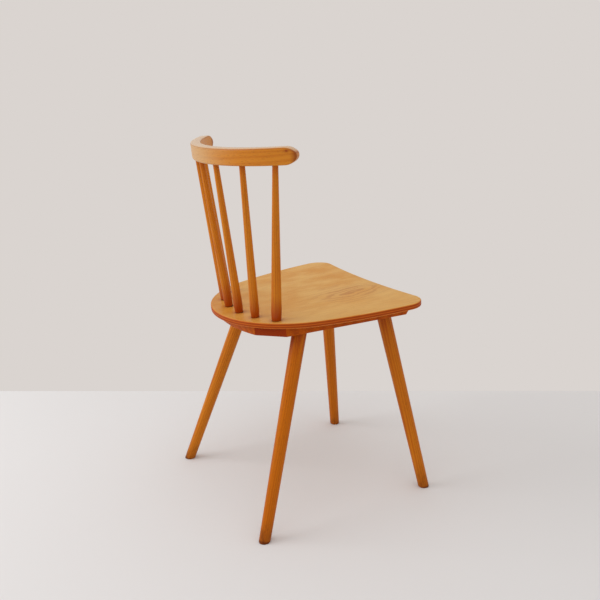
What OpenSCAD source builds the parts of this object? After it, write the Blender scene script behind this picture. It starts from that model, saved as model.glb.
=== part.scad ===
// Spindle-back side chair: plywood seat on three rails, four turned legs, six turned
// spindles and a bent crest rail. Millimetres. +Z is up, the chair faces -Y, and the
// origin is on the floor in the middle of the chair. Left and right are the sitter's,
// so the left side is +X.

/* [Seat] */
// Height of the seat's top face above the floor, at the origin
seat_h = 444; // [380:0.5:540]
// Backward slope of the seat in degrees
seat_slope = 2.8; // [0:0.1:6]
// Width of the seat at its widest
seat_w = 460; // [370:1:560]
// Front edge of the seat, ahead of the origin, on the centre line
seat_front = 186; // [150:1:225]
// Back edge of the seat, behind the origin, on the centre line
seat_back = 194; // [160:1:235]
// Thickness of the seat's plywood
seat_t = 12; // [9:0.5:16]
// How much smaller the radius of the seat's back is than half its width
seat_back_taper = 27.5; // [15:0.5:40]
// Radius of the seat's long sides
seat_side_r = 860; // [500:10:1200]
// Radius of the seat's hollowed front edge
seat_front_r = 1680; // [800:10:2500]
// Radius of the seat's two front corners
seat_corner_r = 42; // [25:1:60]

/* [Rails] */
// Thickness of the rails under the seat
rail_t = 19; // [16:0.5:26]
// How far the seat stands out past a side rail at its front end
rail_overhang = 29.5; // [15:0.5:40]
// How much closer to the middle a side rail's outer face is at the back corner
rail_toe = 41.5; // [25:0.5:50]
// Distance from the seat's front edge back to the side rails' ends
rail_setback = 21; // [12:1:50]
// How far the side rails' back corners stay inside the seat's back edge
rail_back_inset = 6.5; // [4:0.5:12]
// How far the back rail stays inside the seat's back edge, on the centre line
back_rail_inset = 21.5; // [14:0.5:24]
// Height of the bevel under each side rail's front end
rail_bevel = 11; // [4:1:14]
// Width of the back rail, front to back on the centre line
back_rail_w = 80; // [70:1:100]

/* [Legs] */
// Diameter of a leg at the floor
leg_foot_d = 24; // [18:0.5:30]
// Diameter of a leg under the rail
leg_top_d = 31.5; // [26:0.5:34]
// Diameter of a leg's tenon
leg_tenon_d = 20; // [16:0.5:22]
// Distance from a front leg's centre back from the side rail's front end
front_leg_setback = 21; // [17:1:60]
// Distance from a back leg's centre forward from the back rail
back_leg_gap = 24.5; // [20:0.5:60]
// Distance from the inner face of a side rail out to a front leg's centre
front_leg_in = 18.5; // [16:0.5:40]
// Distance from the inner face of a side rail out to a back leg's centre
back_leg_in = 30; // [16:0.5:34]
// How far a front foot stands outside the leg's top
front_splay_x = 77.5; // [30:1:100]
// How far a front foot stands ahead of the leg's top
front_splay_y = 62; // [30:1:110]
// How far a back foot stands outside the leg's top
back_splay_x = 82; // [30:1:100]
// How far a back foot stands behind the leg's top
back_splay_y = 140.5; // [60:1:160]

/* [Back] */
// Radius of the bent crest rail, at the middle of its thickness
crest_r = 305; // [260:1:380]
// Half of the angle that the crest rail covers, in degrees
crest_half_angle = 46.5; // [44:0.5:52]
// Height of the crest rail
crest_h = 33.5; // [26:0.5:45]
// Thickness of the crest rail
crest_t = 22; // [17:0.5:26]
// Radius of the crest rail's long edges
crest_edge_r = 3; // [1:0.5:6]
// Backward tilt of the crest rail in degrees
crest_tilt = 4.5; // [0:0.5:12]
// Height from the seat's top at the origin to the crest rail's lower edge at the back
crest_rise = 309.5; // [230:0.5:390]
// Distance from the seat's back edge to the crest rail's rearmost lower edge
crest_setback = 12; // [0:0.5:40]

/* [Spindles] */
// Distance from the spindles' row forward from the seat's back edge, on the centre line
spindle_inset = 37.5; // [30:0.5:45]
// How much larger the radius of the spindles' row is than that of the seat's back
spindle_row_gain = 33; // [0:1:60]
// Largest diameter of an inner spindle
spindle_d = 19; // [16:0.2:24]
// Largest diameter of the two outer spindles
outer_spindle_d = 21.8; // [17:0.2:26]
// Diameter of a spindle at the crest rail, and of its round hole there
spindle_top_d = 11.6; // [9:0.2:14]
// Diameter of a spindle's tenon in the seat
spindle_tenon_d = 15; // [12:0.5:16]
// Height of a spindle's thickest place above the seat
spindle_swell_h = 22; // [10:1:60]
// How much thinner a spindle is at the seat than at its thickest
spindle_waist = 2.2; // [0:0.2:4]
// Depth of a spindle's tenon below the seat's top
spindle_depth = 25; // [16:1:27]
// Depth of a spindle's end in the crest rail
spindle_bury = 18; // [10:1:22]

/* [Fastenings] */
// Diameter of the dowels between the rails
dowel_d = 8; // [6:0.5:8]
// Length of the dowels between the rails
dowel_len = 26; // [20:1:28]
// Thickness of a leg's wedge at its top
wedge_t = 3; // [2:0.5:4]
// Depth of a leg's wedge
wedge_depth = 13; // [8:1:15]
// Shank diameter of the seat screws
screw_d = 4; // [3:0.5:5]
// Length of the seat screws
screw_len = 26; // [22:1:28]
// Clearance all round a tenon, dowel or screw in its hole
fit_gap = 0.1; // [0.05:0.05:0.3]

/* [Hidden] */
$fn = 96;

seat_color = [0.86, 0.62, 0.32];
rail_color = [0.62, 0.30, 0.12];
leg_color = [0.76, 0.44, 0.17];
spindle_color = [0.74, 0.40, 0.15];
crest_color = [0.82, 0.54, 0.26];
wedge_color = [0.55, 0.36, 0.20];
screw_color = [0.72, 0.66, 0.50];

left = 1;
right = -1;
// larger than the chair in every direction
far = 1200;
// how far a cutting shape runs past what it cuts
past = 10;

// Seat outline: a small arc round the back, a long arc down each side that meets it
// without a corner, a slightly hollow front, and two round corners
half_w = seat_w / 2;
back_r = half_w - seat_back_taper;
back_arc_y = seat_back - back_r;
side_arc = [half_w - seat_side_r,
    back_arc_y - sqrt(pow(seat_side_r - back_r, 2) - pow(seat_side_r - half_w, 2))];
front_arc = [0, -seat_front - seat_front_r];
meet_y = back_arc_y + back_r * (back_arc_y - side_arc.y) / (seat_side_r - back_r);
// a point at distance ra from a and rb from b, on the right-hand side going from a to b
function cross_point(a, ra, b, rb) =
    let (d = norm(b - a), u = (b - a) / d, s = (d * d + ra * ra - rb * rb) / (2 * d))
    a + s * u + sqrt(ra * ra - s * s) * [-u.y, u.x];
corner = cross_point(side_arc, seat_side_r - seat_corner_r, front_arc,
    seat_front_r + seat_corner_r);
function unit(v) = v / norm(v);
corner_side = corner + seat_corner_r * unit(corner - side_arc);
corner_front = corner - seat_corner_r * unit(corner - front_arc);

// Spindles: three pairs, and each list runs from the middle pair to the outer pair
foot_angles = [6.75, 20.25, 33.75];
top_angles = [7.25, 23, 37.5];
spindle_count = 2 * len(foot_angles);
spindle_mid = (spindle_count - 1) / 2;
foot_row_r = back_r + spindle_row_gain;
foot_row_y = seat_back - spindle_inset - foot_row_r;
spindle_tenon_r = spindle_tenon_d / 2;
// a spindle has its top diameter from this far below the crest rail
spindle_neck = 2;

// Rails, in the seat's own plane
rail_top = -seat_t;
rail_low = -seat_t - rail_t;
rail_front_y = -(seat_front - rail_setback);
rail_outer_x = half_w - rail_overhang;
rail_back_r = back_r - rail_back_inset;
// the joint between the rails runs midway between the two outer spindles
rail_inner_x = foot_row_r * (sin(foot_angles[1]) + sin(foot_angles[2])) / 2;
// the side rail's back corner stands this far behind the arc that its joint lies on
rail_corner_past = 4;
rail_corner = [rail_outer_x - rail_toe, rail_corner_past + back_arc_y
    + sqrt(pow(rail_back_r, 2) - pow(rail_outer_x - rail_toe, 2))];
rail_joint_y = back_arc_y + sqrt(pow(rail_back_r, 2) - pow(rail_inner_x, 2));
// the back rail's rear edge is an arc from joint to joint
back_rail_y = seat_back - back_rail_inset;
back_rail_rise = back_rail_y - rail_joint_y;
back_rail_r = (pow(rail_inner_x, 2) + pow(back_rail_rise, 2)) / (2 * back_rail_rise);
back_rail_front = back_rail_y - back_rail_w;

// Leg tops, in the seat's own plane, and feet on the floor
front_leg_y = rail_front_y + front_leg_setback;
back_leg_y = back_rail_front - back_leg_gap;
leg_tenon_r = leg_tenon_d / 2;

// Crest rail
crest_back_y = seat_back + crest_setback;
crest_base_z = seat_h + crest_rise;
crest_outer_r = crest_r + crest_t / 2;
crest_inner_r = crest_r - crest_t / 2;
crest_end_r = crest_h / 2 + 0.3;
crest_straight_angle = crest_half_angle - asin(crest_end_r / crest_r);

// Screws and dowels, in the seat's own plane
screw_head_r = screw_d;
screw_head_h = screw_d * 0.6;
screw_tip_h = 5;
screw_slot_w = 1;
screw_slot_depth = 1;
side_screw_x = rail_inner_x + 30;
side_screw_ys = [-90, -30, 30];
back_screw_x = 36;
back_screw_y = back_rail_front + 22;
// the bevel leans back this much from straight up
rail_bevel_angle = 35;
dowel_ys = [back_rail_front + 9, back_rail_front + 40];

// World place of a point given in the seat's plane: z is measured from its top face
function seat_point(p) = [p.x, p.y * cos(seat_slope) + p.z * sin(seat_slope),
    seat_h - p.y * sin(seat_slope) + p.z * cos(seat_slope)];
// World place of a point of the crest rail: angle from the middle, radius, height
function crest_point(angle, radius, height) =
    let (back = radius * cos(angle) - crest_outer_r)
    [radius * sin(angle), crest_back_y + back * cos(crest_tilt) + height * sin(crest_tilt),
        crest_base_z - back * sin(crest_tilt) + height * cos(crest_tilt)];
function spindle_side(number) = number < spindle_mid ? right : left;
function spindle_step(number) = floor(abs(number - spindle_mid));
function spindle_foot(number) =
    let (angle = spindle_side(number) * foot_angles[spindle_step(number)])
    seat_point([foot_row_r * sin(angle), foot_row_y + foot_row_r * cos(angle), 0]);
function spindle_top(number) =
    crest_point(spindle_side(number) * top_angles[spindle_step(number)], crest_r, 0);
function is_front(y) = y < 0;
function leg_x(y) = rail_inner_x + (is_front(y) ? front_leg_in : back_leg_in);
function leg_top(side, y) = seat_point([side * leg_x(y), y, rail_low]);
function leg_foot(side, y, splay_x, splay_y) =
    let (top = leg_top(side, y)) [top.x + side * splay_x, top.y + splay_y, 0];

// Puts children in the seat's plane, with z = 0 on its top face
module in_seat() {
    translate([0, 0, seat_h]) rotate([-seat_slope, 0, 0]) children();
}

// Puts children at a, with +Z pointing to b
module along(a, b) {
    d = b - a;
    translate(a) rotate([0, acos(d.z / norm(d)), atan2(d.y, d.x)]) children();
}

// Puts children, drawn on the left side, on the given side
module to_side(side) {
    mirror([side == left ? 0 : 1, 0, 0]) children();
}

// Everything between two heights in the seat's plane
module seat_slab(low, high) {
    in_seat() translate([-far / 2, -far / 2, low]) cube([far, far, high - low]);
}

// A straight hole or peg about the line from a to b
module peg(a, b, radius, from, to) {
    along(a, b) translate([0, 0, from]) cylinder(h = to - from, r = radius);
}

module spindle_hole(number) {
    peg(spindle_foot(number), spindle_top(number), spindle_tenon_r + fit_gap,
        -spindle_depth - fit_gap, seat_t);
}

module all_spindle_holes() {
    for (number = [0 : spindle_count - 1]) spindle_hole(number);
}

// A wood screw pointing up, its head level with the underside of the rail
module screw(grow = 0) {
    rotate_extrude() polygon([[0, -grow], [screw_head_r + grow, -grow],
        [screw_d / 2 + grow, screw_head_h], [screw_d / 2 + grow, screw_len - screw_tip_h],
        [0, screw_len + grow]]);
}

module side_screw_places(side) {
    for (y = side_screw_ys) in_seat() translate([side * side_screw_x, y, rail_low]) children();
}

module back_screw_places() {
    for (side = [left, right])
        in_seat() translate([side * back_screw_x, back_screw_y, rail_low]) children();
}

module driven_screw() {
    difference() {
        screw();
        for (turn = [0, 90]) rotate(turn)
            translate([-screw_head_r, -screw_slot_w / 2, -screw_slot_depth])
                cube([2 * screw_head_r, screw_slot_w, 2 * screw_slot_depth]);
    }
}

module dowel_places(side) {
    for (y = dowel_ys)
        in_seat() translate([side * rail_inner_x, y, (rail_top + rail_low) / 2]) children();
}

module dowel(grow = 0) {
    rotate([0, 90, 0])
        cylinder(h = dowel_len + 2 * grow, r = dowel_d / 2 + grow, center = true);
}

module side_disc(side) {
    translate([side * side_arc.x, side_arc.y]) circle(seat_side_r, $fn = 720);
}

module seat_outline() {
    difference() {
        intersection() {
            side_disc(right);
            side_disc(left);
            union() {
                translate([0, back_arc_y]) circle(back_r, $fn = 360);
                translate([-half_w, -far / 2]) square([seat_w, far / 2 + meet_y]);
            }
        }
        translate(front_arc) circle(seat_front_r, $fn = 720);
        for (side = [left, right]) to_side(side) polygon([corner, corner_side,
            [corner_side.x + seat_corner_r, corner_front.y - seat_corner_r], corner_front]);
    }
    for (side = [left, right]) translate([side * corner.x, corner.y]) circle(seat_corner_r);
}

module seat_panel() {
    color(seat_color) difference() {
        in_seat() translate([0, 0, -seat_t]) linear_extrude(seat_t) seat_outline();
        all_spindle_holes();
        for (side = [left, right]) side_screw_places(side) screw(fit_gap);
        back_screw_places() screw(fit_gap);
    }
}

module side_rail(side) {
    color(rail_color) difference() {
        in_seat() to_side(side) difference() {
            translate([0, 0, rail_low]) linear_extrude(rail_t) polygon([
                [rail_inner_x, rail_front_y], [rail_outer_x, rail_front_y], rail_corner,
                [rail_inner_x, rail_joint_y]]);
            translate([0, rail_front_y, rail_low + rail_bevel]) rotate([rail_bevel_angle, 0, 0])
                translate([0, -far, -far]) cube(far);
        }
        spindle_hole(side == right ? 0 : spindle_count - 1);
        for (y = [front_leg_y, back_leg_y]) leg_hole(side, y);
        side_screw_places(side) screw(fit_gap);
        dowel_places(side) dowel(fit_gap);
    }
}

module back_rail() {
    color(rail_color) difference() {
        in_seat() translate([0, 0, rail_low]) linear_extrude(rail_t) intersection() {
            translate([0, back_rail_y - back_rail_r]) circle(back_rail_r, $fn = 720);
            translate([-rail_inner_x, back_rail_front]) square([2 * rail_inner_x, far]);
        }
        for (number = [1 : spindle_count - 2]) spindle_hole(number);
        back_screw_places() screw(fit_gap);
        for (side = [left, right]) dowel_places(side) dowel(fit_gap);
    }
}

// The line of a leg runs from the foot to the underside of the rail
function foot_of(side, y) = is_front(y)
    ? leg_foot(side, y, front_splay_x, -front_splay_y)
    : leg_foot(side, y, back_splay_x, back_splay_y);

module leg_hole(side, y) {
    foot = foot_of(side, y);
    top = leg_top(side, y);
    length = norm(top - foot);
    peg(foot, top, leg_tenon_r + fit_gap, length - 2 * past, length + rail_t + 2 * past);
}

// The wedge's own shape at the top of a tenon, before it is cut level with the rail
module wedge_shape(side, y) {
    foot = foot_of(side, y);
    top = leg_top(side, y);
    low = norm(top - foot) + rail_t - wedge_depth;
    high = low + 2 * wedge_depth;
    // half of the wedge's thickness at its lower end
    tip = wedge_t / wedge_depth;
    along(foot, top) rotate([90, 0, 0]) linear_extrude(leg_tenon_d + past, center = true)
        polygon([[-tip, low], [tip, low], [wedge_t, high], [-wedge_t, high]]);
}

module leg(side, y) {
    foot = foot_of(side, y);
    top = leg_top(side, y);
    length = norm(top - foot);
    grow = (leg_top_d - leg_foot_d) / 2 / length;
    reach = rail_t + past;
    color(leg_color) difference() {
        union() {
            intersection() {
                // turned so that the cone's seam meets neither cut square on
                along(foot, top) translate([0, 0, -reach]) rotate(90)
                    cylinder(h = length + 2 * reach, r1 = leg_foot_d / 2 - grow * reach,
                        r2 = leg_top_d / 2 + grow * reach);
                seat_slab(-far / 2, rail_low);
                translate([-far / 2, -far / 2, 0]) cube(far);
            }
            intersection() {
                peg(foot, top, leg_tenon_r, length - reach, length + 2 * reach);
                seat_slab(rail_low - past, rail_top);
            }
        }
        wedge_shape(side, y);
    }
}

module leg_wedge(side, y) {
    foot = foot_of(side, y);
    top = leg_top(side, y);
    color(wedge_color) intersection() {
        wedge_shape(side, y);
        peg(foot, top, leg_tenon_r, 0, far);
        seat_slab(rail_low, rail_top);
    }
}

module spindle(number) {
    foot = spindle_foot(number);
    top = spindle_top(number);
    length = norm(top - foot);
    outer = number == 0 || number == spindle_count - 1;
    swell_r = (outer ? outer_spindle_d : spindle_d) / 2;
    waist_r = swell_r - spindle_waist / 2;
    top_r = spindle_top_d / 2;
    color(spindle_color) union() {
        difference() {
            along(foot, top) rotate_extrude() polygon([[0, -past], [waist_r, -past],
                [waist_r, 0], [swell_r, spindle_swell_h], [top_r, length - spindle_neck],
                [top_r, length + spindle_bury], [0, length + spindle_bury]]);
            seat_slab(-far / 2, 0);
        }
        peg(foot, top, spindle_tenon_r, -spindle_depth, spindle_swell_h);
    }
}

module crest_section() {
    round = crest_edge_r;
    translate([crest_inner_r + round, 0]) square([crest_t - 2 * round, crest_h]);
    translate([crest_inner_r, round]) square([crest_t, crest_h - 2 * round]);
    for (x = [crest_inner_r + round, crest_outer_r - round])
        for (z = [round, crest_h - round]) translate([x, z]) circle(round, $fn = 32);
}

module in_crest() {
    translate([0, crest_back_y, crest_base_z]) rotate([-crest_tilt, 0, 0])
        translate([0, -crest_outer_r, 0]) children();
}

module crest_sweep(half) {
    rotate(90 - half) rotate_extrude(angle = 2 * half, $fn = 180) crest_section();
}

// What is cut off past the round end of the crest rail
module crest_end_cut(side) {
    rotate(90 - side * crest_straight_angle) difference() {
        translate([crest_inner_r - crest_t, side > 0 ? -crest_h : 0, -crest_h])
            cube([3 * crest_t, crest_h, 3 * crest_h]);
        translate([crest_r, 0, crest_h / 2]) rotate([0, 90, 0])
            cylinder(h = 4 * crest_t, r = crest_end_r, center = true);
    }
}

module crest_rail() {
    color(crest_color) difference() {
        in_crest() difference() {
            crest_sweep(crest_half_angle + 1);
            for (side = [left, right]) crest_end_cut(side);
        }
        for (number = [0 : spindle_count - 1]) {
            foot = spindle_foot(number);
            top = spindle_top(number);
            length = norm(top - foot);
            peg(foot, top, spindle_top_d / 2 + fit_gap, length - past,
                length + spindle_bury + fit_gap);
        }
    }
}

module rail_dowels() {
    color(wedge_color) for (side = [left, right]) dowel_places(side) dowel();
}

module side_rail_screws(side) {
    color(screw_color) side_screw_places(side) driven_screw();
}

module back_rail_screws() {
    color(screw_color) back_screw_places() driven_screw();
}

seat_panel();
side_rail(left);  // side_rail_left
side_rail(right);  // side_rail_right
back_rail();
leg(left, front_leg_y);  // leg_front_left
leg(right, front_leg_y);  // leg_front_right
leg(left, back_leg_y);  // leg_back_left
leg(right, back_leg_y);  // leg_back_right
leg_wedge(left, front_leg_y);  // leg_wedge_front_left
leg_wedge(right, front_leg_y);  // leg_wedge_front_right
leg_wedge(left, back_leg_y);  // leg_wedge_back_left
leg_wedge(right, back_leg_y);  // leg_wedge_back_right
rail_dowels();
side_rail_screws(left);  // side_rail_screws_left
side_rail_screws(right);  // side_rail_screws_right
back_rail_screws();
spindle(0);  // spindle_1
spindle(1);  // spindle_2
spindle(2);  // spindle_3
spindle(3);  // spindle_4
spindle(4);  // spindle_5
spindle(5);  // spindle_6
crest_rail();
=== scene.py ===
from math import asin, atan2, cos, pi, radians, sin, sqrt, tan

import bmesh
import bpy
from bpy.props import FloatProperty, FloatVectorProperty, PointerProperty
from mathutils import Euler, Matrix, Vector


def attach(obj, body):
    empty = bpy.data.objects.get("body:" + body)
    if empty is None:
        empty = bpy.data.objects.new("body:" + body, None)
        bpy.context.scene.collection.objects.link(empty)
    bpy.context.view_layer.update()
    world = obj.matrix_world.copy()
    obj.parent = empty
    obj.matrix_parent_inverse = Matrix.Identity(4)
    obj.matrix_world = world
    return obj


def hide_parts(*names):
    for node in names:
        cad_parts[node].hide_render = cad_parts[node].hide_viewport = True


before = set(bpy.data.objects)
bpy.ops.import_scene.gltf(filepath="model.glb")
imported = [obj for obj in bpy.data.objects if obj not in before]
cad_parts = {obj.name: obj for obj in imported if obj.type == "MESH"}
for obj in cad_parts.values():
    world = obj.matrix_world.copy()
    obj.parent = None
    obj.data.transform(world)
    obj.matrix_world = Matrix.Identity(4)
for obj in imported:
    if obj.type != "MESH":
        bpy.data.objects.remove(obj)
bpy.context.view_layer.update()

bl_info = {
    "name": "Spindle-back side chair",
    "version": (1, 0, 0),
    "blender": (4, 5, 0),
    "location": "3D View > Sidebar > Chair",
    "description": "Shapes and finishes a wooden side chair with a ply seat and a bent crest rail",
    "category": "Object",
}

LEFT, RIGHT = 1, -1
SIDE_NAMES = {LEFT: "left", RIGHT: "right"}
# degrees from the chair's middle to each spindle of one half, round the arcs that their feet
# and their tops stand on
FOOT_ANGLES = (6.75, 20.25, 33.75)
TOP_ANGLES = (7.25, 23.0, 37.5)
SPINDLES = 2 * len(FOOT_ANGLES)
# each piece is cut from a board of its own number, and a board's number shifts its grain
SEAT_BOARD, SIDE_RAIL_BOARD, BACK_RAIL_BOARD = 0, 3, 7
LEG_BOARD, SPINDLE_BOARD, CREST_BOARD = 11, 21, 31
BOARD_SHIFT = Vector((0.31, 0.17, 0.53))


# ---------------------------------------------------------------- settings

def length(default, name, description):
    return FloatProperty(name=name, description=description, default=default, min=0,
                         precision=4, unit="LENGTH")


def turn(default, name, description):
    return FloatProperty(name=name, description=description, default=radians(default),
                         unit="ROTATION", subtype="ANGLE")


def power(default, name, description):
    return FloatProperty(name=name, description=description, default=default, unit="POWER")


def spot(default, name, description):
    return FloatVectorProperty(name=name, description=description, default=default, size=3,
                               unit="LENGTH", subtype="TRANSLATION")


def light(default, name, description):
    return FloatVectorProperty(name=name, description=description, default=default, size=3,
                               min=0, max=1, subtype="COLOR")


def linear(level):
    """The linear value of a paint chart's level, which runs from 0 to 255."""
    level /= 255
    return level / 12.92 if level <= 0.04045 else ((level + 0.055) / 1.055) ** 2.4


def tint(red, green, blue, name, description):
    return light([linear(level) for level in (red, green, blue)], name, description)


class ChairSizes(bpy.types.PropertyGroup):
    """Sizes of the chair, the same as the part's own"""
    seat_height: length(0.444, "Seat height", "Seat's top above the floor, at the origin")
    seat_slope: turn(2.8, "Seat slope", "Backward slope of the seat")
    seat_width: length(0.460, "Seat width", "Width of the seat at its widest")
    seat_front: length(0.186, "Seat front", "Front edge ahead of the origin")
    seat_back: length(0.194, "Seat back", "Back edge behind the origin")
    seat_thick: length(0.012, "Seat thickness", "Thickness of the plywood")
    seat_back_taper: length(0.0275, "Back taper", "Half the width less the back's radius")
    seat_side_radius: length(0.860, "Side radius", "Radius of the seat's long sides")
    seat_front_radius: length(1.680, "Front radius", "Radius of the hollowed front edge")
    seat_corner_radius: length(0.042, "Corner radius", "Radius of the two front corners")
    seat_top_round: length(0.0028, "Top edge", "Rounding of the seat's upper edge")
    seat_low_round: length(0.0018, "Lower edge", "Rounding of the seat's lower edge")

    rail_thick: length(0.019, "Rail thickness", "Thickness of the rails under the seat")
    rail_overhang: length(0.0295, "Overhang", "Seat past a side rail at its front end")
    rail_toe: length(0.0415, "Rail toe", "How much closer a side rail's back corner is")
    rail_setback: length(0.021, "Rail setback", "Side rails' ends behind the front edge")
    rail_back_inset: length(0.0065, "Rail inset", "Joints inside the seat's back edge")
    rail_corner_past: length(0.004, "Corner past", "Side rail's back corner behind the joints")
    back_rail_inset: length(0.0215, "Back rail inset", "Back rail inside the seat's edge")
    back_rail_width: length(0.080, "Back rail width", "Back rail on the centre line")
    rail_bevel: length(0.011, "Bevel height", "Bevel under a side rail's front end")
    rail_bevel_lean: turn(35, "Bevel lean", "How far the bevel leans back")
    rail_edge: length(0.0014, "Rail edges", "Softening of the rails' edges")

    leg_foot: length(0.024, "Foot diameter", "Diameter of a leg at the floor")
    leg_top: length(0.0315, "Leg top diameter", "Diameter of a leg under the rail")
    leg_tenon: length(0.020, "Leg tenon", "Diameter of a leg's tenon")
    leg_foot_round: length(0.0016, "Foot edge", "Rounding of a leg's lower edge")
    front_leg_setback: length(0.021, "Front leg setback", "Leg behind the rail's front end")
    back_leg_gap: length(0.0245, "Back leg gap", "Leg ahead of the back rail")
    front_leg_in: length(0.0185, "Front leg in", "Leg outside the rail's inner face")
    back_leg_in: length(0.030, "Back leg in", "Leg outside the rail's inner face")
    front_splay_x: length(0.0775, "Front splay out", "Front foot outside its leg's top")
    front_splay_y: length(0.062, "Front splay ahead", "Front foot ahead of its leg's top")
    back_splay_x: length(0.082, "Back splay out", "Back foot outside its leg's top")
    back_splay_y: length(0.1405, "Back splay behind", "Back foot behind its leg's top")

    crest_radius: length(0.305, "Crest radius", "Middle of the crest rail's thickness")
    crest_half_angle: turn(46.5, "Crest half angle", "Half of the angle that it covers")
    crest_high: length(0.0335, "Crest height", "Height of the crest rail")
    crest_thick: length(0.022, "Crest thickness", "Thickness of the crest rail")
    crest_edge: length(0.003, "Crest edge", "Radius of the crest rail's edges")
    crest_tip: length(0.0115, "Crest tip", "Radius of the small arc at each end")
    crest_end_gain: length(0.015, "Crest end gain", "Long end arcs past half the height")
    crest_tilt: turn(4.5, "Crest tilt", "Backward tilt of the crest rail")
    crest_rise: length(0.3095, "Crest rise", "Crest rail's lower edge above the seat")
    crest_setback: length(0.012, "Crest setback", "Crest rail behind the seat's back edge")

    row_inset: length(0.0375, "Row inset", "Spindles' row inside the seat's back edge")
    row_gain: length(0.033, "Row gain", "Row's radius more than the seat's back")
    spindle: length(0.019, "Spindle diameter", "Thickest place of an inner spindle")
    outer_spindle: length(0.0218, "Outer spindle", "Thickest place of an outer spindle")
    spindle_top: length(0.0116, "Spindle top", "Diameter at the crest rail")
    spindle_waist: length(0.0022, "Spindle waist", "How much thinner at the seat")
    spindle_swell: length(0.022, "Swell height", "Thickest place above the seat")
    spindle_neck: length(0.002, "Neck", "Top diameter starts this far below the crest")
    spindle_bury: length(0.014, "Buried end", "Spindle's end inside the crest rail")


class ChairColours(bpy.types.PropertyGroup):
    """Colours of the chair's woods under their varnish, and the painted sheen on the seat and the
    crest rail
    """
    seat_gold: tint(208, 144, 48, "Seat gold", "Most of the seat's face")
    # the seat's pale clouds, and also its painted sheen on the near side, towards -X
    seat_pale_and_sheen: tint(220, 172, 92, "Seat pale", "Pale clouds in the seat's birch")
    seat_streak: tint(176, 104, 36, "Seat streak", "Growth lines of the seat's birch")
    seat_worn: tint(200, 124, 40, "Seat back", "Deeper varnish between the spindles")
    ply_light: tint(204, 100, 22, "Ply light", "Long-grain layers on the seat's edge")
    ply_dark: tint(140, 42, 1, "Ply dark", "End-grain layers on the seat's edge")
    ply_glue: tint(76, 26, 4, "Ply glue", "Glue lines between the layers")
    rail: tint(190, 90, 4, "Rail", "Faces of the rails")
    rail_deep: tint(156, 60, 2, "Rail deep", "Growth lines of the rails")
    rail_end: tint(140, 36, 2, "Rail end grain", "Cut ends of the rails")
    leg: tint(198, 108, 4, "Leg", "Faces of the legs")
    leg_deep: tint(172, 80, 2, "Leg deep", "Growth lines of the legs")
    leg_gold: tint(212, 130, 30, "Leg gold", "Faces of the paler legs")
    leg_foot: tint(132, 66, 10, "Leg foot", "Scuffed wood at the floor")
    spindle: tint(212, 130, 24, "Spindle", "Faces of the spindles")
    spindle_deep: tint(180, 86, 6, "Spindle deep", "Growth lines of the spindles")
    spindle_foot: tint(160, 56, 3, "Spindle foot", "Red varnish gathered at the seat")
    crest: tint(214, 136, 36, "Crest", "Faces of the crest rail")
    crest_deep: tint(184, 100, 14, "Crest deep", "Growth lines of the crest rail")
    # painted sheen and highlight: the pale colour of the crest rail's left part and top edge
    # stands in for reflected light
    crest_sheen: tint(209, 168, 112, "Crest pale", "Faded varnish of the crest rail")
    crest_end: tint(140, 62, 10, "Crest end grain", "Round ends of the crest rail")
    pore: tint(84, 34, 8, "Pores", "Short dark flecks in the wood")
    joint: tint(58, 22, 8, "Joint", "Thin dark line where a spindle enters the seat")
    peg: tint(150, 100, 52, "Peg", "Wedges and dowels")
    steel: tint(178, 168, 140, "Screw steel", "Yellowed steel of the screws")


class ChairStage(bpy.types.PropertyGroup):
    """Camera, lamps and floor around the chair"""
    camera_place: spot((-1.5201, 0.7844, 0.9171), "Camera", "Where the camera stands")
    camera_yaw: turn(-27.51, "Yaw", "Direction that the camera looks in, from +X")
    camera_pitch: turn(15.85, "Pitch", "How far the camera looks down")
    camera_roll: turn(-1.89, "Roll", "How far the camera leans")
    camera_lens: FloatProperty(name="Lens", description="Focal length of the lens",
                               default=47.2, unit="CAMERA")
    camera_sensor: FloatProperty(name="Sensor", description="Width of the camera's sensor",
                                 default=36, unit="CAMERA")

    floor: tint(226, 224, 224, "Floor", "Colour of the floor")
    floor_end: spot((0.453, -0.233, 0), "Floor's end", "A place on the floor's far edge")
    floor_turn: turn(-122.4, "Floor's turn", "Direction of the floor's far edge, from +X")
    floor_half: length(6, "Floor's half width", "Floor to each side of that place")
    floor_deep: length(8, "Floor's depth", "Floor from its far edge towards the camera")

    wall: tint(218, 212, 208, "Background", "Colour seen past the floor")
    sky: FloatProperty(name="Room light", description="Level of the light from all round",
                       default=0.72)
    sky_tint: light((1, 0.97, 0.94), "Room light's tint", "Colour of the light from all round")
    lamp_tint: light((0.96, 0.98, 1), "Lamps' tint", "Colour of both lamps")
    side_power: power(27, "Side lamp", "Power of the large side lamp")
    side_size: length(1.8, "Side lamp's size", "Side of the square side lamp")
    side_place: spot((1.0, 2.2, 1.7), "Side lamp's place", "Where the side lamp hangs")
    side_aim: spot((0, 0, 0.45), "Side lamp's aim", "What the side lamp points at")
    top_power: power(11, "Top lamp", "Power of the lamp overhead")
    top_size: length(2.4, "Top lamp's size", "Side of the square lamp overhead")
    top_place: spot((-0.5, 0.3, 2.9), "Top lamp's place", "Where the lamp overhead hangs")
    top_aim: spot((0, 0, 0.3), "Top lamp's aim", "What the lamp overhead points at")


# ---------------------------------------------------------------- places

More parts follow.
